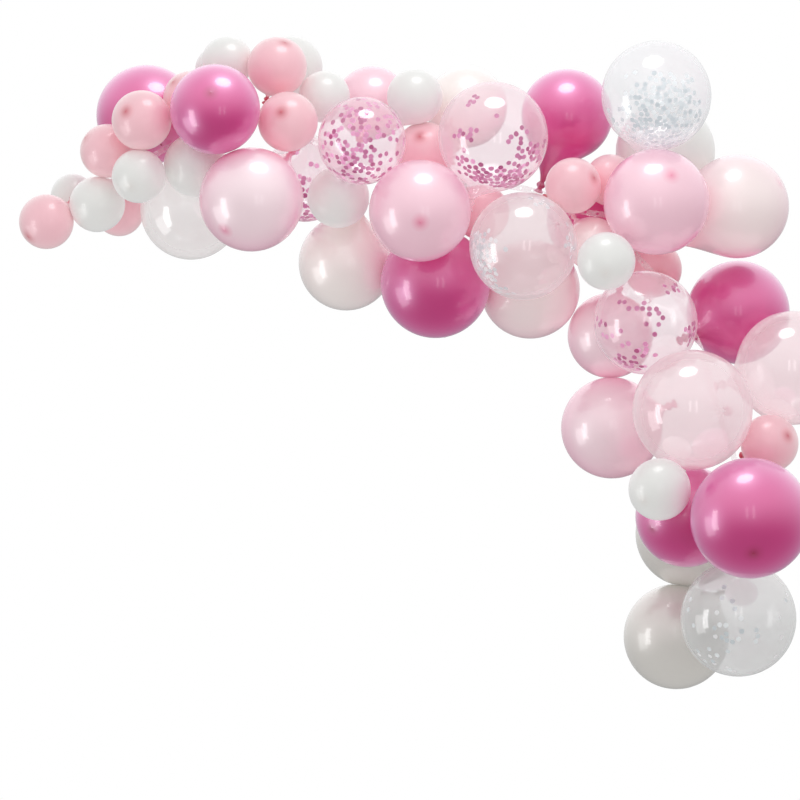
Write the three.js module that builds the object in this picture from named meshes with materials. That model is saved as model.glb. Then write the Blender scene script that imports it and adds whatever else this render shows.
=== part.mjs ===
import * as THREE from 'three';
import { mergeVertices } from 'three/addons/utils/BufferGeometryUtils.js';

// A wall garland of latex balloons in two sizes. Their knots gather round a clear
// plastic strip that runs through the middle of the cluster, and both ends of the
// strip lie flat on the wall, where they are hooked up.
//
// Frame: millimetres, X right along the wall, Z up. The wall is the plane y = 0 and
// the garland is on its -Y side. The origin is on the back of the strip's start tab.

// Balloons
const PRESS = 0.975; // neighbours sit this much nearer than their round sizes would
const CLEARANCE = 0.6; // between two solids
const LARGE_FROM = 145; // diameter from which a balloon counts as a large one
const LARGE = { segments: 12, bodyRings: 5, neckRadius: 6, knotRadius: 8, lipRadius: 10, tail: 24 };
const SMALL = { segments: 10, bodyRings: 4, neckRadius: 4, knotRadius: 6, lipRadius: 7.5, tail: 17 };
const ROUND_TAPER = 1.24; // neck's start from the centre, in radii, on a full balloon
const TAPERS = [1, 0.96, 1.05, 0.92]; // other neck lengths that a balloon may take

// Strip
const STRIP_WIDTH = 12;
const STRIP_THICKNESS = 0.8;
const STRIP_STEPS = 49;
const STRIP_CLEARANCE = 11; // from the strip's middle line to a balloon
const TAB = 24; // length that lies flat on the wall at each end
const TAB_STEPS = 4; // steps at each end that no balloon is tied to

// Layers, as the distance from the wall that each balloon is drawn towards
const REAR = null; // against the wall
const MIDDLE = 185;
const FRONT = 285;
const PROUD = 420;

const SEE_THROUGH = ['clear', 'pink_confetti', 'white_confetti'];

const UP = new THREE.Vector3(0, 0, 1);

const COLOURS = {
  hot_pink: { color: 0xc9438c, roughness: 0.28 },
  rose: { color: 0xe9a2ab, roughness: 0.42 },
  white: { color: 0xeef1f0, roughness: 0.4 },
  pink_pearl: { color: 0xf3b9d2, roughness: 0.25 },
  blush_pearl: { color: 0xecd3db, roughness: 0.25 },
  white_pearl: { color: 0xe9e1df, roughness: 0.25 },
  clear: { color: 0xf6f0f2, roughness: 0.08 },
  pink_confetti: { color: 0xf4dbe8, roughness: 0.08 },
  white_confetti: { color: 0xf4f2f3, roughness: 0.08 },
};

// Each balloon: finish, distance right of the origin, height above it, diameter.
// A row may also say where the crown points, as (right, up) in the wall's plane, and
// how long the taper is, in radii. Within a layer, a later balloon is in front.
const LAYOUT = [
  [REAR, [
    ['white', -20, -8, 88],
    ['rose', 74, -40, 100],
    ['hot_pink', 134, 154, 202],
    ['clear', 220, -32, 204],
    ['white', 274, 246, 94],
    ['pink_confetti', 450, 24, 172],
    ['white', 420, 250, 128],
    ['pink_pearl', 584, 178, 148],
    ['white_pearl', 774, 170, 164],
    ['white_pearl', 532, -144, 192],
    ['hot_pink', 1020, -64, 180],
    ['hot_pink', 976, 154, 184, { crown: [0.34, 0.92], taper: 1.6 }],
    ['white', 1174, 80, 200],
    ['blush_pearl', 902, -190, 200],
    ['pink_pearl', 1064, -290, 172],
    ['rose', 1150, -156, 116],
    ['hot_pink', 1324, -248, 208],
    ['white_pearl', 1220, -690, 214],
    ['pink_pearl', 1066, -476, 204],
    ['white_pearl', 1200, -892, 212],
  ]],
  [MIDDLE, [
    ['rose', 54, 80, 108],
    ['rose', 218, 184, 108],
    ['hot_pink', 716, -184, 220],
    ['blush_pearl', 1316, -32, 208, { crown: [0.82, 0.45], taper: 1.65 }],
    ['clear', 1420, -356, 228],
    ['rose', -68, -62, 110, { crown: [-0.7, -0.55] }],
    ['white', 32, -28, 112],
    ['white', 296, 256, 104],
    ['white', 488, 188, 104],
    ['rose', 690, 80, 120, { crown: [-0.17, 0.5] }],
    ['rose', 804, -44, 112],
    ['white', 234, 44, 128],
    ['white', 516, -12, 124],
    ['rose', 1062, 18, 104],
    ['blush_pearl', 1026, -106, 108],
    ['rose', 390, 248, 120, { crown: [0.27, 0.8] }],
    ['white', 670, 186, 112],
    ['white_confetti', 1312, -858, 232],
  ]],
  [FRONT, [
    ['hot_pink', 1214, -652, 204],
    ['rose', 1378, -502, 116, { crown: [0.62, 0.28] }],
    ['white', 118, 28, 108],
    ['rose', 124, 138, 120],
    ['rose', 984, 6, 112, { crown: [0.7, 0.2] }],
    ['white_confetti', 1152, 188, 220],
    ['pink_confetti', 826, 106, 220],
    ['pink_confetti', 564, 96, 176],
    ['rose', 416, 136, 120, { crown: [-0.17, 0.1] }],
    ['pink_pearl', 340, -18, 208, { crown: [-0.5, -0.6], taper: 1.5 }],
    ['hot_pink', 270, 160, 180],
    ['pink_pearl', 680, -44, 204],
    ['white_confetti', 888, -110, 216],
    ['pink_pearl', 1150, -24, 212, { crown: [0.4, 0.38] }],
    ['pink_confetti', 1134, -272, 208, { crown: [0.05, -0.3] }],
    ['clear', 1220, -434, 240],
  ]],
  [PROUD, [
    ['hot_pink', 1332, -654, 240, { crown: [0.03, -0.58] }],
    ['white', 1050, -144, 116],
    ['white', 1156, -598, 124],
  ]],
];

// The strip's way through the cluster, from the start tab to the end tab. Balloons
// push it aside where they touch it.
const ROUTE = [
  [0, 0, 0],
  [60, -150, 30],
  [168, -190, 80],
  [364, -200, 176],
  [500, -200, 80],
  [640, -190, 40],
  [800, -180, 10],
  [920, -200, 4],
  [994, -250, -38],
  [1120, -190, -140],
  [1240, -190, -300],
  [1280, -200, -460],
  [1314, -190, -532],
  [1330, -200, -660],
  [1310, -130, -760],
  [1250, 0, -800],
];

// Settling
const SETTLE_ROUNDS = 1500;
const PULL = 0.03; // share of the way home that a balloon takes in a round
const PULL_UNTIL = 0.55; // share of the rounds after which nothing pulls
const SIDE_GIVE = 0.06; // movement along the wall for each mm away from it
const LEAST_DEPTH = 0.3; // least share of a push that goes front to back
const NUDGE = CLEARANCE / 50; // added to a push, so that a pair really parts
const STRIP_ROUNDS = 120;
const STRIP_TENSION = 0.3;
const STRIP_PULL = 0.12; // share of the way back to its route that a point takes in a round

// Knots
const DIRECTIONS = 900; // directions tried for a neck
const CONE_SPHERES = 14; // spheres that stand for a neck's cone in the tests
const STRIP_SPHERES = 8; // the same, along one step of the strip
const TAPER_COST = 0.08; // radians of turn that one other neck length is worth
const SEEN_COST = 0.9; // the same, for a tail that shows from the front
const GLIMPSED_COST = 0.5; // the same, for one that shows through a clear balloon
const NEAR = 2; // radii from a centre within which something could touch the neck

function listBalloons() {
  const counts = {};
  return LAYOUT.flatMap(([depth, rows]) => rows.map(([finish, x, z, diameter, extras = {}]) => {
    counts[finish] = (counts[finish] ?? 0) + 1;
    const radius = PRESS * diameter / 2;
    const y = depth === REAR ? -(radius + CLEARANCE) : -depth;
    const home = new THREE.Vector3(x, y, z);
    return {
      name: `${finish}_balloon_${counts[finish]}`,
      finish,
      radius,
      home,
      centre: home.clone(),
      size: diameter < LARGE_FROM ? SMALL : LARGE,
      crown: extras.crown,
      taper: extras.taper ?? ROUND_TAPER,
    };
  }));
}

// Moves the balloons apart, mostly away from the wall, until no two overlap. The one
// that comes later in the list stays in front.
function settle(balloons) {
  for (let round = 0; round < SETTLE_ROUNDS; round += 1) {
    const pull = PULL * Math.max(0, 1 - round / (SETTLE_ROUNDS * PULL_UNTIL));
    balloons.forEach((balloon) => balloon.centre.lerp(balloon.home, pull));
    balloons.forEach((rear, index) => {
      balloons.slice(index + 1).forEach((front) => pushApart(rear, front));
    });
    for (const { centre, radius } of balloons) {
      centre.y = Math.min(centre.y, -(radius + CLEARANCE));
    }
  }
}

function pushApart(rear, front) {
  const reach = rear.radius + front.radius + CLEARANCE;
  const across = new THREE.Vector3().subVectors(rear.centre, front.centre);
  const depth = across.y;
  across.y = 0;
  const aside = across.length();
  if (aside >= reach || depth >= Math.sqrt(reach * reach - aside * aside)) return;
  const distance = Math.hypot(aside, Math.max(depth, 0));
  const push = (reach - distance) / 2 + NUDGE;
  const move = across.setLength(push * SIDE_GIVE * aside / reach);
  move.y = push * Math.max(depth / reach, LEAST_DEPTH);
  rear.centre.add(move);
  front.centre.sub(move);
}

// The strip's middle line: the route at even steps, pulled taut and pushed clear of
// the balloons. The tabs stay on the wall.
function strungPath(balloons) {
  const points = new THREE.CatmullRomCurve3(ROUTE.map((p) => new THREE.Vector3(...p)), false, 'centripetal')
    .getSpacedPoints(STRIP_STEPS);
  const onWall = -STRIP_THICKNESS / 2;
  const half = TAB / 2;
  points[0].set(-half, onWall, 0);
  points[1].set(half, onWall, 0);
  const end = new THREE.Vector3(...ROUTE.at(-1));
  points.at(-2).set(end.x, onWall, end.z + half);
  points.at(-1).set(end.x, onWall, end.z - half);
  const route = points.map((point) => point.clone());
  for (let round = 0; round < STRIP_ROUNDS; round += 1) {
    for (let i = 2; i < points.length - 2; i += 1) {
      const middle = new THREE.Vector3().addVectors(points[i - 1], points[i + 1]).multiplyScalar(0.5);
      points[i].lerp(middle, STRIP_TENSION).lerp(route[i], STRIP_PULL);
    }
    for (let i = 2; i < points.length - 2; i += 1) {
      balloons.forEach((balloon) => pushOut(points[i], balloon));
    }
  }
  return points;
}

function pushOut(point, { centre, radius }) {
  const away = new THREE.Vector3().subVectors(point, centre);
  const least = radius + STRIP_CLEARANCE;
  if (away.length() < least) point.copy(centre).add(away.setLength(least));
}

// The path's direction at a point. Each tab keeps its own, so that it lies flat.
function directionAt(path, i) {
  const last = path.length - 1;
  if (i <= 1) return new THREE.Vector3().subVectors(path[1], path[0]).normalize();
  if (i >= last - 1) return new THREE.Vector3().subVectors(path[last], path[last - 1]).normalize();
  return new THREE.Vector3().subVectors(path[i + 1], path[i - 1]).normalize();
}

// The way across the strip at each point. It is carried along the path without
// turning about it, and the turn that the end tab needs is shared out evenly.
function widthsAlong(path) {
  const directions = path.map((_, i) => directionAt(path, i));
  const widths = [UP.clone()];
  for (let i = 1; i < path.length; i += 1) {
    const turn = new THREE.Quaternion().setFromUnitVectors(directions[i - 1], directions[i]);
    widths.push(widths[i - 1].clone().applyQuaternion(turn));
  }
  const last = path.length - 1;
  const onWall = new THREE.Vector3(Math.sign(widths[last].x), 0, 0);
  const across = new THREE.Vector3().crossVectors(widths[last], onWall);
  const twist = Math.atan2(across.dot(directions[last]), widths[last].dot(onWall));
  return widths.map((width, i) => {
    const share = THREE.MathUtils.clamp((i - 1) / (last - 2), 0, 1);
    return width.applyAxisAngle(directions[i], twist * share);
  });
}

// A flat strip along the path, four corners to a station.
function stripGeometry(path) {
  const vertices = [];
  const widths = widthsAlong(path);
  path.forEach((point, i) => {
    const normal = new THREE.Vector3().crossVectors(directionAt(path, i), widths[i]);
    for (const [side, face] of [[-1, -1], [1, -1], [1, 1], [-1, 1]]) {
      vertices.push(...point.clone()
        .addScaledVector(widths[i], side * STRIP_WIDTH / 2)
        .addScaledVector(normal, face * STRIP_THICKNESS / 2)
        .toArray());
    }
  });
  const faces = [];
  const last = 4 * (path.length - 1);
  for (let ring = 0; ring < last; ring += 4) {
    const next = ring + 4;
    faces.push(ring, ring + 1, next + 1, ring, next + 1, next);
    faces.push(ring + 1, ring + 2, next + 2, ring + 1, next + 2, next + 1);
    faces.push(ring + 2, ring + 3, next + 2, ring + 3, next + 3, next + 2);
    faces.push(ring + 3, ring, next, ring + 3, next, next + 3);
  }
  faces.push(0, 3, 2, 0, 2, 1, last, last + 1, last + 2, last, last + 2, last + 3);
  const geometry = new THREE.BufferGeometry();
  geometry.setAttribute('position', new THREE.Float32BufferAttribute(vertices, 3));
  geometry.setIndex(faces);
  geometry.computeVertexNormals();
  return geometry;
}

// Spheres that fill a balloon's taper, neck and lip, along the way its neck points.
function neckSpheres({ centre, radius, size }, direction, taper) {
  const length = taper * radius;
  const spheres = [];
  for (let i = 1; i <= CONE_SPHERES; i += 1) {
    const share = i / CONE_SPHERES;
    const cone = (1 - share) * radius + share * size.neckRadius;
    spheres.push({ along: share * length, radius: Math.max(cone, size.knotRadius) });
  }
  spheres.push({ along: length + size.tail / 2, radius: size.lipRadius });
  spheres.push({ along: length + size.tail, radius: size.lipRadius });
  return spheres.map((sphere) => ({
    centre: centre.clone().addScaledVector(direction, sphere.along),
    radius: sphere.radius,
  }));
}

function clearOf(spheres, obstacles) {
  return spheres.every((sphere) => obstacles.every((other) => (
    sphere.centre.distanceTo(other.centre) > sphere.radius + other.radius + CLEARANCE
  )));
}

function evenDirections(count) {
  const golden = Math.PI * (3 - Math.sqrt(5));
  return Array.from({ length: count }, (_, i) => {
    const up = 1 - 2 * (i + 0.5) / count;
    const out = Math.sqrt(1 - up * up);
    return new THREE.Vector3(out * Math.cos(i * golden), out * Math.sin(i * golden), up);
  });
}

function stripSpheres(path) {
  return path.slice(1).flatMap((point, i) => (
    Array.from({ length: STRIP_SPHERES }, (_, k) => ({
      centre: path[i].clone().lerp(point, k / STRIP_SPHERES),
      radius: STRIP_WIDTH / 2 + 1,
    }))
  ));
}

// What it costs a neck, in radians of turn, that its tail shows from the front.
function showingCost(balloons, spheres) {
  const tip = spheres.at(-1).centre;
  const before = balloons.filter(({ centre, radius }) => (
    centre.y < tip.y && Math.hypot(centre.x - tip.x, centre.z - tip.z) < radius
  ));
  if (before.some(({ finish }) => !SEE_THROUGH.includes(finish))) return 0;
  return before.length > 0 ? GLIMPSED_COST : SEEN_COST;
}

// A neck points away from its crown where that is given, and otherwise at the nearest
// of the strip, with its tail out of sight if it can be. It turns, or grows longer or
// shorter, only as far as it has to.
function aimNecks(balloons, path) {
  const directions = evenDirections(DIRECTIONS);
  const strip = stripSpheres(path);
  const necks = [];
  for (const balloon of balloons) {
    const wanted = wantedNeck(balloon, path);
    const bodies = balloons.filter((other) => other !== balloon);
    const near = [...bodies, ...strip, ...necks].filter(({ centre, radius }) => (
      centre.distanceTo(balloon.centre) < radius + balloon.radius * NEAR + balloon.size.tail
    ));
    let best = null;
    for (const direction of [wanted, ...directions]) {
      TAPERS.forEach((share, rank) => {
        const taper = balloon.taper * share;
        const spheres = neckSpheres(balloon, direction, taper);
        const showing = balloon.crown ? 0 : showingCost(balloons, spheres);
        const cost = direction.angleTo(wanted) + rank * TAPER_COST + showing;
        if (best && best.cost <= cost) return;
        const behindWall = spheres.some(({ centre, radius }) => centre.y + radius > -CLEARANCE);
        if (!behindWall && clearOf(spheres, near)) best = { cost, direction, taper, spheres };
      });
    }
    balloon.neck = best.direction;
    balloon.taper = best.taper;
    necks.push(...best.spheres);
  }
}

function wantedNeck({ centre, crown }, path) {
  if (crown) {
    const [right, up] = crown;
    return new THREE.Vector3(-right, Math.sqrt(1 - right * right - up * up), -up).normalize();
  }
  const inside = path.slice(TAB_STEPS, -TAB_STEPS);
  const nearest = inside.reduce((a, b) => (a.distanceTo(centre) < b.distanceTo(centre) ? a : b));
  return new THREE.Vector3().subVectors(nearest, centre).normalize();
}

// One latex balloon turned about its axis, crown at -Z and lip at +Z: round body,
// straight taper into the neck, then the knot and the rolled lip.
function balloonGeometry({ radius, taper, size }) {
  const coneAngle = Math.acos(1 / taper);
  const roundTo = Math.PI - coneAngle;
  const profile = [new THREE.Vector2(0, -radius)];
  for (let ring = 1; ring <= size.bodyRings; ring += 1) {
    const angle = roundTo * ring / size.bodyRings;
    profile.push(new THREE.Vector2(radius * Math.sin(angle), -radius * Math.cos(angle)));
  }
  const neck = taper * radius;
  profile.push(
    new THREE.Vector2(size.neckRadius, neck),
    new THREE.Vector2(size.knotRadius, neck + size.tail / 2),
    new THREE.Vector2(size.lipRadius, neck + size.tail),
    new THREE.Vector2(0, neck + size.tail),
  );
  const geometry = new THREE.LatheGeometry(profile, size.segments);
  geometry.rotateX(Math.PI / 2);
  geometry.deleteAttribute('uv');
  geometry.deleteAttribute('normal');
  const closed = mergeVertices(geometry);
  closed.setIndex(withoutSlivers(Array.from(closed.index.array)));
  closed.computeVertexNormals();
  return closed;
}

// The lathe makes a face of no width beside each pole. These are left out.
function withoutSlivers(index) {
  const faces = [];
  for (let i = 0; i < index.length; i += 3) {
    const corners = index.slice(i, i + 3);
    if (new Set(corners).size === 3) faces.push(...corners);
  }
  return faces;
}

function balloonMesh(balloon) {
  const look = COLOURS[balloon.finish];
  const material = new THREE.MeshStandardMaterial({ ...look, metalness: 0 });
  const mesh = new THREE.Mesh(balloonGeometry(balloon), material);
  mesh.name = balloon.name;
  mesh.position.copy(balloon.centre);
  mesh.quaternion.setFromUnitVectors(UP, balloon.neck);
  return mesh;
}

function stripMesh(path) {
  const material = new THREE.MeshStandardMaterial({ color: 0xe6e4da, roughness: 0.2, metalness: 0 });
  const mesh = new THREE.Mesh(stripGeometry(path), material);
  mesh.name = 'balloon_strip';
  return mesh;
}

const balloons = listBalloons();
settle(balloons);
const path = strungPath(balloons);
aimNecks(balloons, path);

const garland = new THREE.Group();
garland.add(stripMesh(path), ...balloons.map(balloonMesh));

export default garland;
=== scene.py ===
import math
import random

import bmesh
import bpy
import numpy as np
from mathutils import Matrix, Vector


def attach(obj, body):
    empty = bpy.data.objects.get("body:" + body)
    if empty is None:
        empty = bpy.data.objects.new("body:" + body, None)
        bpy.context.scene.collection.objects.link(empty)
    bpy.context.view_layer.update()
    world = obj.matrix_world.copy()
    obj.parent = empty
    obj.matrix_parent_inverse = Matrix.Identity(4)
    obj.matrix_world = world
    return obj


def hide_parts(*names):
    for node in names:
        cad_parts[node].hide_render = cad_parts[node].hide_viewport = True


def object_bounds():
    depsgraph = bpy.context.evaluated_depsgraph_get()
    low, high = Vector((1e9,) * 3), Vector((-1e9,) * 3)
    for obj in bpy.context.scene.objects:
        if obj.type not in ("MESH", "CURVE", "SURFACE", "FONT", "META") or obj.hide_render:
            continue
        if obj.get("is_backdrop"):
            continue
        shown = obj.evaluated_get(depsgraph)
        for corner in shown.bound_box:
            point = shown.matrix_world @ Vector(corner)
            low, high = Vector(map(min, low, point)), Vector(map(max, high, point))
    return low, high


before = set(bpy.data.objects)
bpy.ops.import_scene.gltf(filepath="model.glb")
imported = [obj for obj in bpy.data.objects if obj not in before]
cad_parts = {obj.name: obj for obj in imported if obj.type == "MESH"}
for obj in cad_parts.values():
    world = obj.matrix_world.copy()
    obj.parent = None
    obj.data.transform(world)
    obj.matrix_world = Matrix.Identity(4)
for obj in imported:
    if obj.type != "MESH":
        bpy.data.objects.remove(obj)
cad_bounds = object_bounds()

# Metres. X runs right along the wall, Z up, and the wall is the plane y = 0 with the
# garland on its -Y side.
MM = 0.001
PRESS = 0.975  # the CAD balloons are this much smaller than round, pressed ones
UP = Vector((0, 0, 1))


# ---------------------------------------------------------------- shared steps
def only(piece):
    """Selects one piece and nothing else."""
    bpy.ops.object.select_all(action="DESELECT")
    bpy.context.view_layer.objects.active = piece
    piece.select_set(True)


def added(name, data):
    """A new piece, light or camera of the scene."""
    piece = bpy.data.objects.new(name, data)
    bpy.context.scene.collection.objects.link(piece)
    return piece


def colour(red, green, blue):
    """A screen colour as the shader's linear one."""
    def linear(c):
        c /= 255
        return c / 12.92 if c <= 0.04045 else ((c + 0.055) / 1.055) ** 2.4
    return (linear(red), linear(green), linear(blue), 1)


def material_of(name):
    """A new material, its node tree and its main shader."""
    material = bpy.data.materials.new(name)
    material.use_nodes = True
    return material, material.node_tree, material.node_tree.nodes["Principled BSDF"]


def blended(tree, kind, factor, a, b):
    """A mix of two colours or numbers, each given as a value or as another node's output."""
    mix = tree.nodes.new("ShaderNodeMix")
    mix.data_type = kind
    for socket, value in (("Factor", factor), ("A", a), ("B", b)):
        if isinstance(value, bpy.types.NodeSocket):
            tree.links.new(value, mix.inputs[socket])
        else:
            mix.inputs[socket].default_value = value
    return mix.outputs["Result"]


def calculated(tree, operation, *values):
    """The result of one sum on numbers, each given as a value or as another node's output."""
    node = tree.nodes.new("ShaderNodeMath")
    node.operation = operation
    for socket, value in zip(node.inputs, values):
        if isinstance(value, bpy.types.NodeSocket):
            tree.links.new(value, socket)
        else:
            socket.default_value = value
    return node.outputs[0]


def colour_with_painted_glow(tree, shader, tone, strength):
    """Gives a shader its colour, with a little of it as painted glow: emission that stands in for light from
    behind.
    """
    tree.links.new(tone, shader.inputs["Base Color"])
    tree.links.new(tone, shader.inputs["Emission Color"])
    shader.inputs["Emission Strength"].default_value = strength


# ---------------------------------------------------------------- measuring the frame
SMALL_SIDES = 10  # sides of a small CAD balloon; a large one has more


def welded(node):
    """Points and neighbours of a CAD node, its loose triangles joined."""
    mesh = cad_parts[node].data
    places, points, index = {}, [], []
    for vertex in mesh.vertices:
        key = tuple(round(c, 5) for c in vertex.co)
        if key not in places:
            places[key] = len(points)
            points.append(Vector(vertex.co))
        index.append(places[key])
    near = [set() for _ in points]
    for face in mesh.polygons:
        corners = [index[v] for v in face.vertices]
        for corner in corners:
            near[corner].update(c for c in corners if c != corner)
    return points, near


def measure_balloon(node):
    """Centre, axis, radius and neck of a CAD balloon, from the rings at its two poles."""
    points, near = welded(node)
    poles = sorted(range(len(points)), key=lambda i: -len(near[i]))[:2]
    ends = [points[i] for i in poles]
    axis = (ends[1] - ends[0]).normalized()
    heights = [max(abs((points[j] - points[i]).dot(axis)) for j in near[i]) for i in poles]
    if heights[0] < heights[1]:
        poles.reverse()
        ends.reverse()
        heights.reverse()
        axis = -axis
    ring = [points[j] - ends[0] for j in near[poles[0]]]
    height = heights[0]
    across = sum((p - axis * p.dot(axis)).length for p in ring) / len(ring)
    radius = (across**2 + height**2) / (2 * height)
    centre = ends[0] + axis * radius
    stations = sorted({round((p - centre).dot(axis), 4) for p in points})
    return {
        "node": node,
        "finish": node.rsplit("_balloon_", 1)[0],
        "large": len(ring) > SMALL_SIDES,
        "centre": centre,
        "axis": axis,
        "radius": radius / PRESS,
        "neck": stations[-3],
    }


def measure_strip(node):
    """The strip's stations from the start tab: middle, width direction."""
    points, near = welded(node)
    by_tab = [i for i, point in enumerate(points) if point.length < 20 * MM]
    start = min(points[i].x for i in by_tab)
    ring = [i for i in by_tab if abs(points[i].x - start) < 0.1 * MM]
    seen, stations = set(ring), []
    width = UP
    while ring:
        corners = [points[i] for i in ring]
        middle = sum(corners, Vector()) / len(corners)
        sides = [b - a for a in corners for b in corners]
        across = min((side for side in sides if side.length > 5 * MM), key=lambda side: side.length)
        width = (across if across.dot(width) > 0 else -across).normalized()
        stations.append((middle, width))
        ring = sorted({j for i in ring for j in near[i]} - seen)
        seen.update(ring)
    return stations


balloons = [measure_balloon(n) for n in sorted(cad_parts) if "_balloon_" in n]
stations = measure_strip("balloon_strip")


# ---------------------------------------------------------------- balloon shape
LARGE = {"segments": 64, "body": 30, "cone": 10, "neck": 4.8, "knot": 8.2, "lip": 10, "tail": 24}
SMALL = {"segments": 48, "body": 24, "cone": 8, "neck": 3.4, "knot": 5.8, "lip": 7.4, "tail": 17}
MASTER_RADIUS = {"large": 110 * MM, "small": 56 * MM}
NECK_AT = 1.24  # place of a master's neck along its axis, in radii
NUB = 2.6 * MM  # radius of the soft nub at the crown
NUB_TIP = 0.2 * MM  # rise of its pole above its first ring
LIP_DEPTH = 1.5 * MM  # fall of the lip's pole below its last ring

# Knot and lip: (share of the tail, radius as a mix of neck, knot and lip).
TAIL = [
    (0.00, 1.0, 0.0, 0.0), (0.10, 0.9, 0.0, 0.0), (0.20, 0.5, 0.4, 0.0), (0.30, 0.1, 0.85, 0.0),
    (0.42, 0.0, 1.0, 0.0), (0.54, 0.1, 0.85, 0.0), (0.64, 0.6, 0.3, 0.0), (0.72, 0.9, 0.05, 0.0),
    (0.82, 0.4, 0.0, 0.45), (0.91, 0.1, 0.0, 0.80), (0.96, 0.0, 0.0, 0.95), (1.00, 0.0, 0.0, 1.00),
    (1.03, 0.0, 0.0, 0.94), (1.00, 0.0, 0.0, 0.84), (0.94, 0.0, 0.0, 0.72), (0.84, 0.0, 0.0, 0.40),
]


def profile(radius, neck_at, spec):
    """Rings from the crown to inside the lip, as (radius, place along the axis)."""
    turn = math.acos(min(1, radius / neck_at))
    round_to = math.pi - turn
    rings = [(NUB * 0.5, -radius - 0.45 * MM), (NUB, -radius - 0.15 * MM)]
    first = 1.6 * NUB / radius
    for k in range(spec["body"] + 1):
        angle = first + (round_to - first) * k / spec["body"]
        rings.append((radius * math.sin(angle), -radius * math.cos(angle)))
    (r0, z0), r1 = rings[-1], spec["neck"] * MM
    run = neck_at - z0
    slope = -1 / math.tan(turn)
    for k in range(1, spec["cone"]):
        t = k / spec["cone"]
        h00, h10 = 2 * t**3 - 3 * t**2 + 1, t**3 - 2 * t**2 + t
        h01, h11 = -2 * t**3 + 3 * t**2, t**3 - t**2
        r = h00 * r0 + h10 * run * slope + h01 * r1 + h11 * run * slope * 0.3
        rings.append((max(r, r1), z0 + run * t))
    for share, neck, knot, lip in TAIL:
        r = (neck * spec["neck"] + knot * spec["knot"] + lip * spec["lip"]) * MM
        rings.append((r, neck_at + share * spec["tail"] * MM))
    return rings


def build_master(name, spec, rings):
    """A balloon drawn ring by ring from its crown to its lip, and closed at both."""
    bpy.ops.object.select_all(action="DESELECT")
    r, z = rings[0]
    bpy.ops.mesh.primitive_circle_add(vertices=spec["segments"], radius=r, location=(0, 0, z))
    master = bpy.context.object
    master.name = name
    bpy.ops.object.transform_apply(location=True, rotation=True, scale=True)
    bpy.ops.object.mode_set(mode="EDIT")
    bpy.ops.mesh.select_mode(type="VERT")
    bpy.ops.mesh.select_all(action="SELECT")
    for (r0, z0), (r1, z1) in zip(rings, rings[1:]):
        bpy.ops.mesh.extrude_region_move(TRANSFORM_OT_translate={"value": (0, 0, z1 - z0)})
        bpy.ops.transform.resize(value=(r1 / r0, r1 / r0, 1), center_override=(0, 0, z1))
    bpy.ops.mesh.extrude_region_move(TRANSFORM_OT_translate={"value": (0, 0, -LIP_DEPTH)})
    bpy.ops.mesh.merge(type="CENTER")
    bpy.ops.mesh.select_all(action="DESELECT")
    edit = bmesh.from_edit_mesh(master.data)
    for vertex in edit.verts:
        vertex.select = vertex.co.z < rings[0][1] + 0.05 * MM
    edit.select_flush(True)
    bmesh.update_edit_mesh(master.data)
    bpy.ops.mesh.extrude_region_move(TRANSFORM_OT_translate={"value": (0, 0, -NUB_TIP)})
    bpy.ops.mesh.merge(type="CENTER")
    bpy.ops.mesh.select_all(action="SELECT")
    bpy.ops.mesh.normals_make_consistent(inside=False)
    bpy.ops.object.mode_set(mode="OBJECT")
    bpy.ops.object.shade_smooth()
    return master


def points_of(mesh):
    """A mesh's points as rows of an array."""
    flat = np.empty(len(mesh.vertices) * 3)
    mesh.vertices.foreach_get("co", flat)
    return flat.reshape(-1, 3)


def ring_numbers(points, rings):
    """Which ring each point of the master is in; -1 is the crown's pole, -2 the lip's."""
    r = np.hypot(points[:, 0], points[:, 1])
    table = np.array(rings)
    apart = (table[None, :, 0] - r[:, None]) ** 2 + (table[None, :, 1] - points[:, 2, None]) ** 2
    number = apart.argmin(axis=1)
    on_axis = r < 0.01 * MM
    number[on_axis & (points[:, 2] < 0)] = -1
    number[on_axis & (points[:, 2] > 0)] = -2
    return number


masters = {}
for size, spec in (("large", LARGE), ("small", SMALL)):
    radius = MASTER_RADIUS[size]
    rings = profile(radius, radius * NECK_AT, spec)
    master = build_master(f"{size}_balloon_master", spec, rings)
    points = points_of(master.data)
    angle = np.arctan2(points[:, 1], points[:, 0])
    masters[size] = (master, ring_numbers(points, rings), angle, spec)


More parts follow.
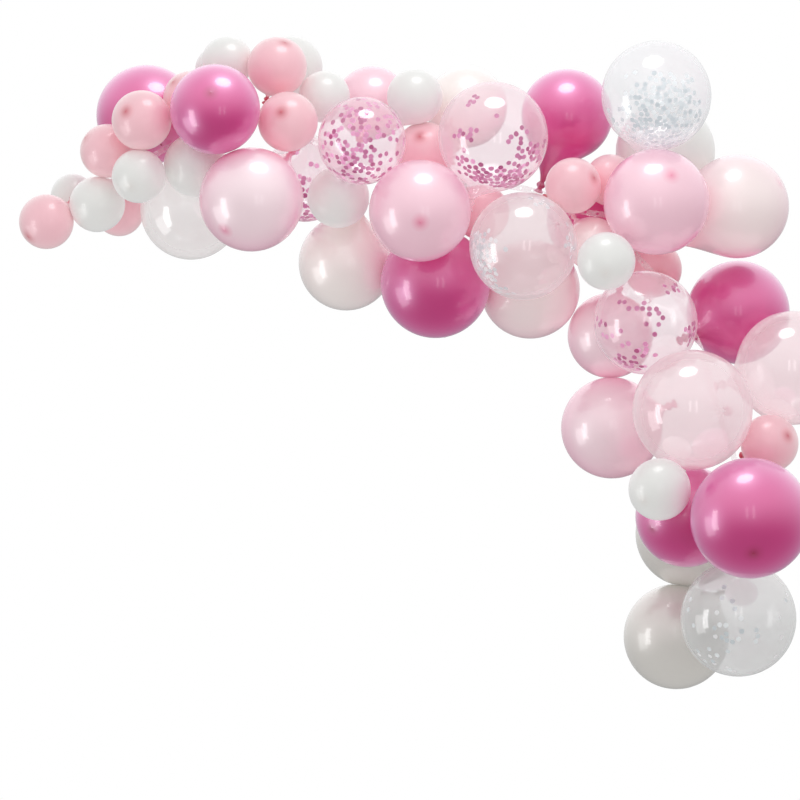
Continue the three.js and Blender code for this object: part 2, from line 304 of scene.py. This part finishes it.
def blow_up(balloon, rng):
    """A copy of the master with its own mesh, the places that its points take when it is
    blown to this balloon's size, and which of them are on its taper and tail."""
    master, number, angle, spec = masters["large" if balloon["large"] else "small"]
    rings = profile(balloon["radius"], balloon["neck"], spec)
    first, last = rings[0], rings[-1]
    table = np.array(rings + [(0, last[1] - LIP_DEPTH), (0, first[1] - NUB_TIP)])
    r, z = table[number, 0].copy(), table[number, 1].copy()
    neck = balloon["neck"]
    tail = spec["tail"] * MM
    # the neck is gathered, and the knot is lumpy
    phase = rng.uniform(0, 6)
    gather = np.exp(-(((z - neck) / (0.5 * tail)) ** 2))
    r *= 1 + 0.10 * gather * np.cos(9 * angle + phase)
    knot = np.exp(-(((z - neck - 0.42 * tail) / (0.2 * tail)) ** 2))
    r *= 1 + 0.16 * knot * np.sin(2 * angle + phase) + 0.08 * knot * np.sin(5 * angle)
    frill = np.clip((z - neck - 0.75 * tail) / (0.25 * tail), 0, 1)
    r *= 1 + 0.07 * frill * np.sin(3 * angle + 2 * phase)
    local = np.stack([r * np.cos(angle), r * np.sin(angle), z], axis=1)
    turn = np.array(UP.rotation_difference(balloon["axis"]).to_matrix())
    placed = local @ turn.T + np.array(balloon["centre"])
    # the latex is thicker, so deeper in colour, at the crown and towards the knot
    radius = balloon["radius"]
    start = radius * radius / neck
    cone = np.clip((z - start) / (neck - start), 0, 1)
    crown = np.clip(1 - r / (7.5 * NUB), 0, 1) ** 1.2 * (z < 0)
    thick = np.maximum(cone**2.2, crown * 0.9)
    copy = added(f"{balloon['node']}_latex", master.data.copy())
    note = copy.data.attributes.new("thick", "FLOAT", "POINT")
    note.data.foreach_set("value", thick)
    return copy, placed, z > start


SOFT = 0.5 * MM  # softness of a contact's edge
HALF_GAP = 0.15 * MM  # half the gap between two balloons that press on each other
CLEAR = 0.3 * MM  # gap to the wall, and between a taper and the next balloon


def press(points, tapers, balloon, others):
    """Flattens a balloon where it meets its neighbours and the wall."""
    centre, radius = np.array(balloon["centre"]), balloon["radius"]
    for other in others:
        away = np.array(other["centre"]) - centre
        distance = np.linalg.norm(away)
        if distance > radius + other["radius"] + balloon["neck"]:
            continue
        way = away / distance
        if distance < radius + other["radius"]:
            face = (distance**2 + radius**2 - other["radius"] ** 2) / (2 * distance) - HALF_GAP
            depth = (points - centre) @ way - face
            points -= np.outer(depth + SOFT * np.logaddexp(0, -depth / SOFT), way)
        inside = points - np.array(other["centre"])
        reach = np.linalg.norm(inside, axis=1)
        poke = tapers & (reach < other["radius"] + CLEAR)
        points[poke] += inside[poke] * ((other["radius"] + CLEAR) / reach[poke] - 1)[:, None]
    depth = points[:, 1] + CLEAR
    points[:, 1] -= depth + SOFT * np.logaddexp(0, -depth / SOFT)
    return points


# ---------------------------------------------------------------- materials
def tone_group():
    """Latex colour: even skin with a faint cloudiness, deeper where the latex is thick."""
    group = bpy.data.node_groups.new("latex_tone", "ShaderNodeTree")
    face = group.interface
    face.new_socket("Skin", in_out="INPUT", socket_type="NodeSocketColor")
    face.new_socket("Thick", in_out="INPUT", socket_type="NodeSocketColor")
    face.new_socket("Cloud", in_out="INPUT", socket_type="NodeSocketFloat")
    face.new_socket("Color", in_out="OUTPUT", socket_type="NodeSocketColor")
    nodes, links = group.nodes, group.links
    given, made = nodes.new("NodeGroupInput"), nodes.new("NodeGroupOutput")
    place = nodes.new("ShaderNodeTexCoord")
    noise = nodes.new("ShaderNodeTexNoise")
    noise.inputs["Scale"].default_value = 14
    noise.inputs["Detail"].default_value = 3
    links.new(place.outputs["Object"], noise.inputs["Vector"])
    swing = calculated(group, "SUBTRACT", noise.outputs["Fac"], 0.5)
    cloudy = nodes.new("ShaderNodeHueSaturation")
    links.new(given.outputs["Skin"], cloudy.inputs["Color"])
    links.new(calculated(group, "MULTIPLY_ADD", swing, given.outputs["Cloud"], 1.0), cloudy.inputs["Value"])
    note = nodes.new("ShaderNodeAttribute")
    note.attribute_name = "thick"
    color = blended(group, "RGBA", note.outputs["Fac"], cloudy.outputs["Color"], given.outputs["Thick"])
    links.new(color, made.inputs["Color"])
    return group


TONE = tone_group()


def toned(tree, skin, thick, cloud):
    """The latex colour group in a material, with the material's own values."""
    tone = tree.nodes.new("ShaderNodeGroup")
    tone.node_tree = TONE
    tone.inputs["Skin"].default_value = colour(*skin)
    tone.inputs["Thick"].default_value = colour(*thick)
    tone.inputs["Cloud"].default_value = cloud
    return tone.outputs["Color"]


def edge(tree, power):
    """0 where the surface faces the eye, up to 1 at its outline."""
    weight = tree.nodes.new("ShaderNodeLayerWeight")
    weight.inputs["Blend"].default_value = 0.5
    return calculated(tree, "POWER", weight.outputs["Facing"], power)


# Painted glow: the share of each colour that latex, films and confetti emit, standing in for light that comes
# through a balloon from behind it and lifting its shade.
PAINTED_GLOW = 0.09  # light that comes through a balloon from behind it


def latex(name, skin, thick, rim, rim_power, plain, cloud=0.1):
    """Opaque latex: its skin's colour, and another at its outline, which is painted sheen where it is lighter
    than the skin and a deeper pink on the pink and blush pearls.
    """
    material, tree, shader = material_of(name)
    # outline colour: painted sheen where lighter than the skin, deeper pink on the pearls
    tone = blended(tree, "RGBA", edge(tree, rim_power), toned(tree, skin, thick, cloud), colour(*rim))
    # painted glow: the latex emits a little of its colour
    colour_with_painted_glow(tree, shader, tone, PAINTED_GLOW)
    for socket, value in plain.items():
        shader.inputs[socket].default_value = value
    return material


def film(name, skin, near, far, outline):
    """A thin see-through skin: clear where it faces the eye, milkier on the far side and
    mirror-like at its outline."""
    material, tree, shader = material_of(name)
    nodes, links = tree.nodes, tree.links
    # painted glow: the film emits a little of its skin colour
    colour_with_painted_glow(tree, shader, toned(tree, skin, skin, 0.05), 1.4 * PAINTED_GLOW)
    shader.inputs["Roughness"].default_value = 0.5
    shader.inputs["Specular IOR Level"].default_value = 0
    clear = nodes.new("ShaderNodeBsdfTransparent")
    gloss = nodes.new("ShaderNodeBsdfAnisotropic")
    gloss.inputs["Roughness"].default_value = 0.13
    gloss.inputs["Color"].default_value = (1, 1, 1, 1)
    side = nodes.new("ShaderNodeNewGeometry")
    density = blended(tree, "FLOAT", side.outputs["Backfacing"], near, far)
    milk = blended(tree, "FLOAT", edge(tree, 3.0), density, outline)
    mirror = calculated(tree, "MULTIPLY_ADD", edge(tree, 5.0), 0.6, 0.08)

    def either(amount, first, second):
        """One of two shaders, or some of each."""
        mix = nodes.new("ShaderNodeMixShader")
        links.new(amount, mix.inputs["Fac"])
        links.new(first, mix.inputs[1])
        links.new(second, mix.inputs[2])
        return mix.outputs[0]

    body = either(milk, clear.outputs[0], shader.outputs[0])
    links.new(either(mirror, body, gloss.outputs[0]), nodes["Material Output"].inputs["Surface"])
    return material


SATIN = {"Roughness": 0.42, "Coat Weight": 0.4, "Coat Roughness": 0.16}
PEARL = {"Roughness": 0.42, "IOR": 1.9, "Coat Weight": 1.0, "Coat Roughness": 0.12}
PINK_RIM = (252, 172, 206)

# Screen colours of the skin, of thick latex and of the outline, the outline being painted sheen where it is
# lighter than the skin; how narrow the outline is.
# For a film: colour, cover on the near side, on the far side and at the outline.
LOOKS = {
    "hot_pink": latex(
        "hot_pink_pearl_latex", (218, 34, 126), (176, 0, 60), (238, 158, 214), 1.9,
        {**PEARL, "IOR": 2.5, "Specular Tint": (0.86, 0.74, 1.0, 1)}, 0.08),
    "rose": latex(
        "rose_latex", (253, 200, 209), (206, 80, 98), (255, 232, 234), 2.0, SATIN),
    "white": latex(
        "white_latex", (240, 240, 237), (236, 232, 228), (253, 254, 253), 2.0, SATIN, 0.04),
    "pink_pearl": latex(
        "pink_pearl_latex", (255, 208, 223), (240, 120, 160), (252, 184, 212), 2.0, PEARL, 0.08),
    "sheer_pink": latex(
        "sheer_pink_pearl_latex", (255, 229, 236), (244, 140, 174), PINK_RIM, 1.7, PEARL, 0.08),
    "blush_pearl": latex(
        "blush_pearl_latex", (255, 238, 237), (250, 190, 204), (250, 204, 220), 1.9, PEARL, 0.08),
    "white_pearl": latex(
        "white_pearl_latex", (254, 244, 240), (240, 224, 218), (248, 240, 240), 2.2, PEARL, 0.08),
    # painted shade: the white pearls low in the garland get this greyer skin
    "painted_shade_pearl": latex(
        "grey_pearl_latex", (222, 218, 212), (214, 204, 198), (226, 224, 219), 2.4, PEARL, 0.08),
    "clear": film("clear_latex", (248, 247, 246), 0.24, 0.66, 0.8),
    "rosy_clear": film("rosy_clear_latex", (252, 234, 238), 0.24, 0.62, 0.86),
    "pink_confetti": film("clear_confetti_latex", (252, 232, 239), 0.12, 0.42, 0.7),
    "white_confetti": film("clear_white_latex", (244, 246, 248), 0.14, 0.5, 0.75),
    "rosy_confetti": film("clear_rosy_latex", (248, 236, 238), 0.22, 0.7, 0.8),
    # painted shade: a greyer film for the clear balloon with white confetti low in the garland
    "painted_shade_confetti": film("clear_painted_shade_latex", (226, 228, 227), 0.2, 0.62, 0.7),
}

# Balloons that are blown thinner, take on the colour of what is behind them, or carry painted shade: a skin a
# little greyer than the rest of their finish, for their place low in the garland where the light is dimmer.
OWN_LOOKS = {
    "pink_pearl_balloon_2": "sheer_pink", "pink_pearl_balloon_3": "sheer_pink",
    "pink_pearl_balloon_4": "sheer_pink", "clear_balloon_2": "rosy_clear", "clear_balloon_3": "rosy_clear",
    "white_pearl_balloon_3": "painted_shade_pearl", "white_pearl_balloon_4": "painted_shade_pearl",
    "white_confetti_balloon_1": "painted_shade_confetti", "white_confetti_balloon_3": "rosy_confetti",
}


def hand_in(piece, material, node=None):
    """Gives a piece its material in a slot of its own and its body, and hides the CAD node it stands for."""
    piece.data.materials.clear()
    piece.data.materials.append(material)
    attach(piece, "root")
    if node:
        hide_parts(node)


# ---------------------------------------------------------------- balloons
for balloon in balloons:
    rng = random.Random(balloon["node"])
    skin, points, tapers = blow_up(balloon, rng)
    others = [other for other in balloons if other is not balloon]
    points = press(points, tapers, balloon, others)
    skin.data.vertices.foreach_set("co", points.ravel())
    skin.data.update()
    look = OWN_LOOKS.get(balloon["node"], balloon["finish"])
    hand_in(skin, LOOKS[look], balloon["node"])
for master, *_ in masters.values():
    bpy.data.objects.remove(master)


# ---------------------------------------------------------------- confetti
def confetti_paper(name, light, deep):
    """Tissue discs, each a little lighter or deeper than the next."""
    material, tree, shader = material_of(name)
    note = tree.nodes.new("ShaderNodeAttribute")
    note.attribute_name = "tint"
    tone = blended(tree, "RGBA", note.outputs["Fac"], colour(*light), colour(*deep))
    # painted glow: the paper emits some of its colour, lifting the shade inside its balloon
    colour_with_painted_glow(tree, shader, tone, 2.8 * PAINTED_GLOW)
    shader.inputs["Roughness"].default_value = 0.7
    return material


PAPERS = {
    "pink_confetti": confetti_paper("pink_confetti_paper", (240, 180, 220), (176, 32, 122)),
    "white_confetti": confetti_paper("white_confetti_paper", (255, 255, 255), (206, 212, 216)),
}
DISC_SIDES = 10
DISC_RADIUS = 5.3 * MM
DISC_THICKNESS = 0.25 * MM
ELBOW = 1.5  # least distance between two discs' middles, in radii
TRIES = 30
FLAT_GAP = 1.2 * MM  # gap between a disc and the flat where a neighbour presses
NECK_SIDE = 0.75  # no disc clings nearer to the neck than this cosine

# Where the discs cling inside each balloon: (right, up, front), spread in degrees, count.
CLINGS = {
    "pink_confetti_balloon_1": [((0, -0.9, 0.3), 34, 70), ((0, 0, 1), 90, 20)],
    "pink_confetti_balloon_2": [
        ((-0.25, -0.78, 0.55), 11, 34), ((0.3, -0.8, 0.5), 11, 34), ((0.05, -0.97, 0.1), 16, 36),
        ((0, -0.9, -0.4), 16, 30), ((0.5, -0.05, 0.85), 7, 9), ((0.72, -0.28, 0.6), 11, 20),
        ((-0.62, 0.0, 0.78), 4, 4), ((-0.42, 0.02, 0.9), 4, 5), ((-0.36, 0.62, 0.7), 5, 5),
        ((0.05, 0.35, 0.93), 2, 1), ((-0.55, -0.45, 0.7), 7, 6)],
    "pink_confetti_balloon_3": [((0, -0.5, 0.6), 46, 80), ((0, 0.3, 0.6), 60, 50), ((0, -0.2, -0.8), 60, 60)],
    "pink_confetti_balloon_4": [
        ((-0.16, 0.3, 0.94), 2, 1), ((-0.07, 0.24, 0.96), 3, 2), ((0.06, 0.26, 0.96), 3, 2),
        ((0.2, 0.24, 0.95), 3, 2), ((0.3, 0.12, 0.94), 3, 1), ((0.03, -0.02, 1.0), 2, 1),
        ((-0.5, 0.36, 0.78), 6, 3), ((-0.35, -0.78, 0.4), 8, 16), ((0.88, -0.1, 0.35), 8, 14),
        ((0.5, 0.66, 0.5), 6, 6), ((-0.85, 0, 0.4), 12, 5), ((0, -0.5, 0.8), 24, 8), ((0, -0.5, -1), 40, 14)],
    "white_confetti_balloon_1": [((-0.2, -0.3, 0.9), 40, 26), ((0, -0.7, -0.3), 50, 20)],
    "white_confetti_balloon_2": [((0.1, -0.32, 0.9), 18, 190), ((0.05, -0.75, 0.6), 20, 70)],
    "white_confetti_balloon_3": [
        ((-0.86, -0.2, 0.46), 13, 90), ((0.35, 0.85, 0.35), 8, 24), ((0.86, 0.1, 0.42), 8, 16),
        ((-0.6, -0.7, 0.3), 14, 20)],
}


bpy.ops.object.select_all(action="DESELECT")
bpy.ops.mesh.primitive_cylinder_add(vertices=DISC_SIDES, radius=DISC_RADIUS, depth=DISC_THICKNESS)
disc = bpy.context.object


def facing(direction):
    """Two directions square to this one and to each other."""
    side = direction.cross(UP if abs(direction.z) < 0.9 else Vector((1, 0, 0))).normalized()
    return side, direction.cross(side)


def free_place(balloon, main, spread, taken, rng):
    """A direction near the main one and a free place there on the inside of the wall."""
    side, over = facing(main)
    for _ in range(TRIES):
        lean = math.radians(min(abs(rng.gauss(0, spread)), 175))
        spin = rng.uniform(0, math.tau)
        way = main * math.cos(lean) + (side * math.cos(spin) + over * math.sin(spin)) * math.sin(lean)
        place = balloon["centre"] + way * (balloon["radius"] - rng.uniform(0.7, 1.3) * MM)
        free = all((place - other).length > ELBOW * DISC_RADIUS for other in taken)
        if free and way.dot(balloon["axis"]) < NECK_SIDE:
            return way, place
    return None


def disc_mesh(place, way, rng):
    """A disc that lies nearly flat on the wall, one face lighter than the other."""
    tilt = Vector((rng.gauss(0, 1), rng.gauss(0, 1), rng.gauss(0, 1))) * 0.07
    normal = (way + tilt).normalized()
    a, b = facing(normal)
    size = rng.uniform(0.94, 1.05)
    shape = disc.data.copy()
    inner, outer = rng.uniform(0, 0.35), rng.uniform(0.35, 1)
    note = shape.attributes.new("tint", "FLOAT", "POINT")
    note.data.foreach_set("value", [outer if v.co.z > 0 else inner for v in shape.vertices])
    lie = Matrix((a * size, b * size, normal)).transposed().to_4x4()
    shape.transform(Matrix.Translation(place) @ lie)
    return shape


def confetti(balloon, clings):
    """The discs inside one balloon, joined, kept off the flats where neighbours press."""
    rng = random.Random(balloon["node"] + "_confetti")
    centre, radius = balloon["centre"], balloon["radius"]
    flats = []
    for other in balloons:
        away = other["centre"] - centre
        reach = away.length
        if other is not balloon and reach < radius + other["radius"]:
            face = (reach**2 + radius**2 - other["radius"] ** 2) / (2 * reach)
            flats.append((away.normalized(), face - FLAT_GAP))
    taken, pieces = [], []
    for (right, up, front), spread, count in clings:
        main = Vector((right, -front, up)).normalized()
        for _ in range(count):
            found = free_place(balloon, main, spread, taken, rng)
            if found is None:
                continue
            way, place = found
            taken.append(place)
            for wall, face in flats:
                deep = (place - centre).dot(wall) - face
                if deep > 0:
                    place -= wall * deep
            pieces.append(added(f"{balloon['node']}_disc", disc_mesh(place, way, rng)))
    only(pieces[0])
    for piece in pieces:
        piece.select_set(True)
    bpy.ops.object.join()
    piece = bpy.context.object
    piece.name = piece.data.name = f"{balloon['node']}_confetti"
    kind = balloon["finish"]
    hand_in(piece, PAPERS[kind])


for balloon in balloons:
    if balloon["node"] in CLINGS:
        confetti(balloon, CLINGS[balloon["node"]])
bpy.data.objects.remove(disc)


# ---------------------------------------------------------------- strip
HOLE_PITCH = 24 * MM
HOLE_RADIUS = 2.6 * MM
HOLE_SIDES = 16
STRIP_HALF = 6 * MM
STRIP_THICK = 0.8 * MM
FINE = 12  # steps from one measured station of the strip to the next
HAIR = 0.01 * MM


def catmull(p0, p1, p2, p3, t):
    """A point between p1 and p2 on a smooth curve through all four."""
    return 0.5 * ((2 * p1) + (p2 - p0) * t + (2 * p0 - 5 * p1 + 4 * p2 - p3) * t**2
                  + (3 * p1 - p0 - 3 * p2 + p3) * t**3)


def smooth_path():
    """The strip's middle line and width direction at fine steps, and the length so far."""
    fine = []
    last = len(stations) - 1
    for i in range(last):
        flat = i == 0 or i == last - 1
        around = [stations[max(0, min(last, i + k))] for k in (-1, 0, 1, 2)]
        for k in range(FINE):
            t = k / FINE
            if flat:
                point = around[1][0].lerp(around[2][0], t)
            else:
                point = catmull(*[s[0] for s in around], t)
            width = around[1][1].lerp(around[2][1], t).normalized()
            fine.append((point, width))
    fine.append(stations[-1])
    run = [0]
    for (a, _), (b, _) in zip(fine, fine[1:]):
        run.append(run[-1] + (b - a).length)
    return fine, run


def strip_sheet(length):
    """The strip laid flat: a row of round holes, each in its own square of sheet."""
    count = round(length / HOLE_PITCH)
    pitch = length / count
    vertices, faces = [], []
    for k in range(count):
        middle = (k + 0.5) * pitch
        rim, ring = [], []
        for j in range(HOLE_SIDES):
            turn = math.tau * j / HOLE_SIDES
            c, s = math.cos(turn), math.sin(turn)
            stretch = 1 / max(abs(c), abs(s))
            rim.append((middle + c * stretch * pitch / 2, s * stretch * STRIP_HALF))
            ring.append((middle + c * HOLE_RADIUS, s * HOLE_RADIUS))
        for side in (-1, 1):
            base = len(vertices)
            vertices += [(x, y, side) for x, y in rim + ring]
            for j in range(HOLE_SIDES):
                n = (j + 1) % HOLE_SIDES
                quad = [base + j, base + n, base + HOLE_SIDES + n, base + HOLE_SIDES + j]
                faces.append(quad if side > 0 else quad[::-1])
        low, high = base - 2 * HOLE_SIDES, base
        for j in range(HOLE_SIDES):
            n = (j + 1) % HOLE_SIDES
            inner = (low + HOLE_SIDES, high + HOLE_SIDES)
            faces.append([inner[0] + j, inner[0] + n, inner[1] + n, inner[1] + j])
            (x0, y0), (x1, y1) = rim[j], rim[n]
            on_edge = min(abs(y0), abs(y1)) > STRIP_HALF - HAIR and y0 * y1 > 0
            at_start = k == 0 and max(x0, x1) < HAIR
            at_end = k == count - 1 and min(x0, x1) > length - HAIR
            if on_edge or at_start or at_end:
                faces.append([low + j, high + j, high + n, low + n])
    return vertices, faces


def make_strip():
    """The flat sheet laid along the path, with its doubled points joined."""
    fine, run = smooth_path()
    flat, faces = strip_sheet(run[-1])
    shaped = []
    for along, across, side in flat:
        at = int(np.searchsorted(run, along, side="right")) - 1
        at = max(0, min(at, len(fine) - 2))
        t = (along - run[at]) / (run[at + 1] - run[at])
        point = fine[at][0].lerp(fine[at + 1][0], t)
        width = fine[at][1].lerp(fine[at + 1][1], t).normalized()
        ahead = (fine[at + 1][0] - fine[at][0]).normalized()
        normal = ahead.cross(width).normalized()
        shaped.append(point + width * across + normal * side * STRIP_THICK / 2)
    mesh = bpy.data.meshes.new("balloon_strip_sheet")
    mesh.from_pydata(shaped, [], faces)
    piece = added("balloon_strip_sheet", mesh)
    only(piece)
    bpy.ops.object.mode_set(mode="EDIT")
    bpy.ops.mesh.select_all(action="SELECT")
    bpy.ops.mesh.remove_doubles(threshold=HAIR)
    bpy.ops.mesh.normals_make_consistent(inside=False)
    bpy.ops.object.mode_set(mode="OBJECT")
    material = film("strip_plastic", (244, 242, 238), 0.12, 0.12, 0.3)
    hand_in(piece, material, "balloon_strip")


make_strip()


# ---------------------------------------------------------------- stage
def studio():
    """A pale floor, and an even white room that glossy surfaces see as light from above."""
    bpy.ops.object.select_all(action="DESELECT")
    bpy.ops.mesh.primitive_plane_add(size=24, location=(0.64, 0, -2.0))
    floor = bpy.context.object
    floor.name = "floor"
    pale, _, shader = material_of("pale_floor")
    shader.inputs["Base Color"].default_value = (0.86, 0.86, 0.86, 1)
    shader.inputs["Roughness"].default_value = 0.9
    floor.data.materials.append(pale)
    floor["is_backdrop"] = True
    floor.visible_glossy = False
    floor.visible_diffuse = False

    world = bpy.data.worlds.new("studio")
    bpy.context.scene.world = world
    world.use_nodes = True
    tree = world.node_tree
    nodes, links = tree.nodes, tree.links
    back = nodes["Background"]
    where = nodes.new("ShaderNodeTexCoord")
    split = nodes.new("ShaderNodeSeparateXYZ")
    links.new(where.outputs["Generated"], split.inputs[0])

    def ramp(axis, start, end, low, high):
        """A soft step from low to high along one direction of the room."""
        step = nodes.new("ShaderNodeMapRange")
        step.interpolation_type = "SMOOTHSTEP"
        for socket, value in (("From Min", start), ("From Max", end), ("To Min", low), ("To Max", high)):
            step.inputs[socket].default_value = value
        links.new(split.outputs[axis], step.inputs["Value"])
        return step.outputs["Result"]

    ray = nodes.new("ShaderNodeLightPath")
    mirrored = calculated(tree, "ADD", ramp("Z", -0.5, 0.7, 0.0, 1.35), ramp("Y", -0.2, 1.0, 0.0, 0.22))
    lit = blended(tree, "FLOAT", ray.outputs["Is Glossy Ray"], ramp("Z", -1.0, 0.6, 0.755, 0.625), mirrored)
    links.new(blended(tree, "FLOAT", ray.outputs["Is Camera Ray"], lit, 1.0), back.inputs["Strength"])
    back.inputs["Color"].default_value = (1, 1, 1, 1)
    world.cycles.sampling_method = "NONE"


MIDDLE = Vector((0.64, -0.25, -0.35))
VIEW_WIDTH = 1.6  # how much of the wall the camera takes in
VIEW_HEIGHT = -0.42  # the camera's height, level with the middle of what it takes in
VIEW_DISTANCE = 26


def softbox(name, direction, distance, width, height, radiance, round_box=False):
    """An area light of some width, height and radiance that looks at the garland's middle
    from a direction and a distance."""
    light = bpy.data.lights.new(name, "AREA")
    light.shape = "ELLIPSE" if round_box else "RECTANGLE"
    light.size, light.size_y = width, height
    area = width * height * (math.pi / 4 if round_box else 1)
    light.energy = radiance * math.pi * area
    lamp = added(name, light)
    lamp.location = MIDDLE + Vector(direction).normalized() * distance
    lamp.rotation_euler = (MIDDLE - lamp.location).to_track_quat("-Z", "Y").to_euler()
    return lamp


def camera():
    """A long lens square to the wall."""
    eye = bpy.data.cameras.new("camera")
    eye.sensor_width = 36
    eye.lens = eye.sensor_width * VIEW_DISTANCE / VIEW_WIDTH
    eye.clip_end = 200
    holder = added("camera", eye)
    holder.location = (MIDDLE.x, MIDDLE.y - VIEW_DISTANCE, VIEW_HEIGHT)
    holder.rotation_euler = (math.pi / 2, 0, 0)
    bpy.context.scene.camera = holder


studio()
overhead = softbox("overhead_box", (0.1, -0.24, 0.96), 2.6, 1.3, 1.1, 7, round_box=True)
window = softbox("left_window", (-0.87, -0.42, -0.16), 2.8, 0.7, 1.8, 5)
pane = softbox("left_pane", (-0.93, -0.12, -0.34), 2.8, 1.3, 1.6, 2)
left_bar = softbox("left_bar", (0.1, -0.95, 0.08), 3.0, 0.22, 1.1, 1.8)
right_bar = softbox("right_bar", (0.3, -0.95, 0.08), 3.0, 0.22, 1.1, 1.8)
for lamp in (overhead, window, pane, left_bar, right_bar):
    lamp.visible_diffuse = False
softbox("fill", (0.1, -0.6, 0.8), 2.3, 1.6, 1.6, 1.02).visible_glossy = False
camera()
scene = bpy.context.scene
scene.view_settings.view_transform = "Standard"
scene.cycles.transparent_max_bounces = 24

size = {
    "cad": [list(corner) for corner in cad_bounds],
    "visual": [list(corner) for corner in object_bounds()],
}
